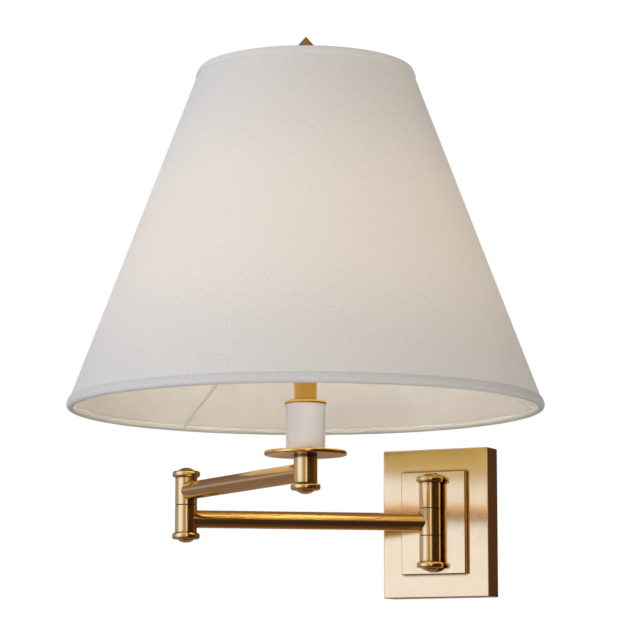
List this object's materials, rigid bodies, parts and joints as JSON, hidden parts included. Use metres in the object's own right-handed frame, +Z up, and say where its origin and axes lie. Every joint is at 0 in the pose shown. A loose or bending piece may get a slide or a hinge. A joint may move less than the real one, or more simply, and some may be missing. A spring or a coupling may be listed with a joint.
{
  "type": "swing arm wall sconce",
  "caption": "Wall sconce with a rectangular backplate, jointed swing arms on barrel hinges, a candle-style sleeve and a tapered fabric drum shade.",
  "frame": {"origin": "centre of the backplate on the wall plane, midway between the two wall-box screw slots", "axes": "+Y into the wall along the wall-box screws, +Z up along the hinge axes, +X to the right along the wall; the lamp stands out towards -Y"},
  "size_m": [0.3513, 0.4382, 0.4082],
  "materials": {
    "brass_plate": "brushed satin",
    "brass_tube": "satin",
    "brass_hinge": "satin",
    "pin_steel": "machined",
    "bushing_bronze": "machined",
    "washer_plastic": "matte",
    "zinc_steel": "zinc plated",
    "ground_green": "painted",
    "wire_insulation": "matte",
    "candle_white": "satin",
    "harp_brass": "polished",
    "socket_metal": "polished",
    "socket_insulation": "matte",
    "bulb_metal": "threaded",
    "bulb_glass": "frosted",
    "white_wire": "gloss paint",
    "shade_fabric": "plain linen weave",
    "shade_lining": "smooth cream lining"
  },
  "bodies": {
    "wall_mount": {"backplate_cover": "brass_plate", "raised_plate": "brass_plate", "mounting_crossbar": "zinc_steel", "cover_grub_screws": "zinc_steel", "raised_plate_screws": "zinc_steel", "ground_screw": "ground_green", "wall_knuckle_upper": "brass_hinge", "wall_knuckle_lower": "brass_hinge", "wall_hinge_pin": "pin_steel", "wall_hinge_washers": "washer_plastic", "wall_cap_top": "brass_hinge", "wall_cap_bottom": "brass_hinge"},
    "lower_arm": {"lower_arm_tube": "brass_tube", "lower_arm_wall_knuckle": "brass_hinge", "wall_hinge_bushing": "bushing_bronze", "lower_arm_elbow_knuckle": "brass_hinge", "elbow_pin": "pin_steel", "elbow_washer": "washer_plastic", "elbow_cap_top": "brass_hinge", "elbow_cap_bottom": "brass_hinge", "lower_arm_wires": "wire_insulation"},
    "upper_arm": {"upper_arm_tube": "brass_tube", "upper_arm_elbow_knuckle": "brass_hinge", "upper_arm_head_knuckle": "brass_hinge", "elbow_bushing": "bushing_bronze", "head_bushing": "bushing_bronze", "upper_arm_wires": "wire_insulation"},
    "lamp_head": {"head_spindle": "pin_steel", "head_cap": "brass_hinge", "head_washer": "washer_plastic", "head_collar": "brass_tube", "drip_disc": "brass_tube", "candle_sleeve": "candle_white", "sleeve_ring": "brass_tube", "stem_tube": "brass_tube", "stem_wires": "wire_insulation", "harp_saddle": "harp_brass", "harp": "harp_brass", "harp_ferrules": "harp_brass", "socket_cap": "socket_metal", "socket_shell": "socket_metal", "socket_liner": "socket_insulation", "socket_base": "socket_insulation", "socket_screw_shell": "socket_metal", "socket_contact": "socket_metal", "fitter_collar": "socket_insulation", "bulb_cap": "bulb_metal", "bulb_glass": "bulb_glass", "top_ring": "white_wire", "bottom_ring": "white_wire", "top_spider": "white_wire", "lower_fitter": "white_wire", "shade_lining": "shade_lining", "shade_fabric": "shade_fabric", "top_trim": "shade_fabric", "bottom_trim": "shade_fabric", "finial": "brass_hinge"}
  },
  "joints": [
    {"name": "wall_pivot", "type": "hinge", "parent": "wall_mount", "child": "lower_arm", "pos_m": [0, -0.0315, 0], "axis": [0, 0, 1], "range_deg": [-25.7, 134.3]},
    {"name": "elbow_pivot", "type": "hinge", "parent": "lower_arm", "child": "upper_arm", "pos_m": [-0.16079, -0.14704, 0], "axis": [0, 0, 1], "range_deg": [-258.6, 41.4]},
    {"name": "head_swivel", "type": "hinge", "parent": "upper_arm", "child": "lamp_head", "pos_m": [0, -0.26258, 0], "axis": [0, 0, 1], "range_deg": [-165, 165]}
  ]
}
